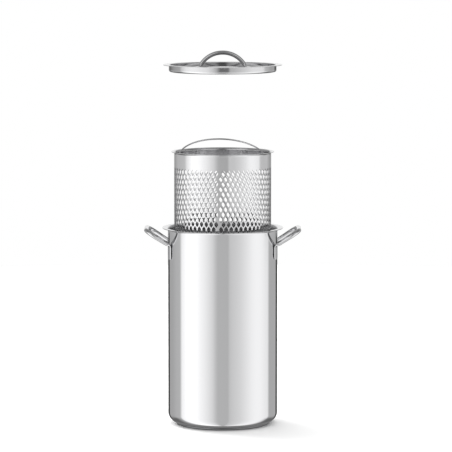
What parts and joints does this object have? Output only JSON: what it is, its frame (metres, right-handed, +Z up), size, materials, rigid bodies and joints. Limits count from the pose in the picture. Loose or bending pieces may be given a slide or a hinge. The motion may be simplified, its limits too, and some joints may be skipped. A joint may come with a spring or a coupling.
{
  "type": "pasta pot",
  "caption": "Tall stainless steel pasta pot with side handles, a plug lid and a lift-out perforated strainer insert with a bail handle.",
  "frame": {"origin": "centre of the pot's base, on the surface it stands on", "axes": "+Z up along the pot's axis, +X towards the right-hand side handle, -Y towards the viewer of the picture"},
  "size_m": [0.2308, 0.1786, 0.5533],
  "materials": {
    "polished_steel": "polished stainless steel",
    "base_aluminium": "enclosed aluminium core",
    "base_steel": "brushed stainless steel",
    "handle_steel": "polished stainless steel rod",
    "strainer_steel": "polished perforated stainless sheet",
    "wire_steel": "bright drawn wire"
  },
  "bodies": {
    "pot": {"pot_body": "polished_steel", "base_core": "base_aluminium", "base_cap": "base_steel", "side_handle_left": "handle_steel", "side_handle_right": "handle_steel"},
    "strainer": {"strainer_wall": "strainer_steel", "strainer_base": "strainer_steel", "bail_ear_left": "strainer_steel", "bail_ear_right": "strainer_steel"},
    "bail": {"bail": "wire_steel"},
    "lid": {"lid_shell": "polished_steel", "lid_handle": "handle_steel"}
  },
  "joints": [
    {"name": "strainer_lift", "type": "slide", "parent": "pot", "child": "strainer", "axis": [0, 0, 1], "range_m": [-0.1468, 0.15]},
    {"name": "lid_lift", "type": "slide", "parent": "strainer", "child": "lid", "axis": [0, 0, 1], "range_m": [-0.0921, 0.05]},
    {"name": "bail_swing", "type": "hinge", "parent": "strainer", "child": "bail", "pos_m": [0, 0, 0.393], "axis": [0.9934, 0.1149, 0], "range_deg": [0, 135]}
  ]
}
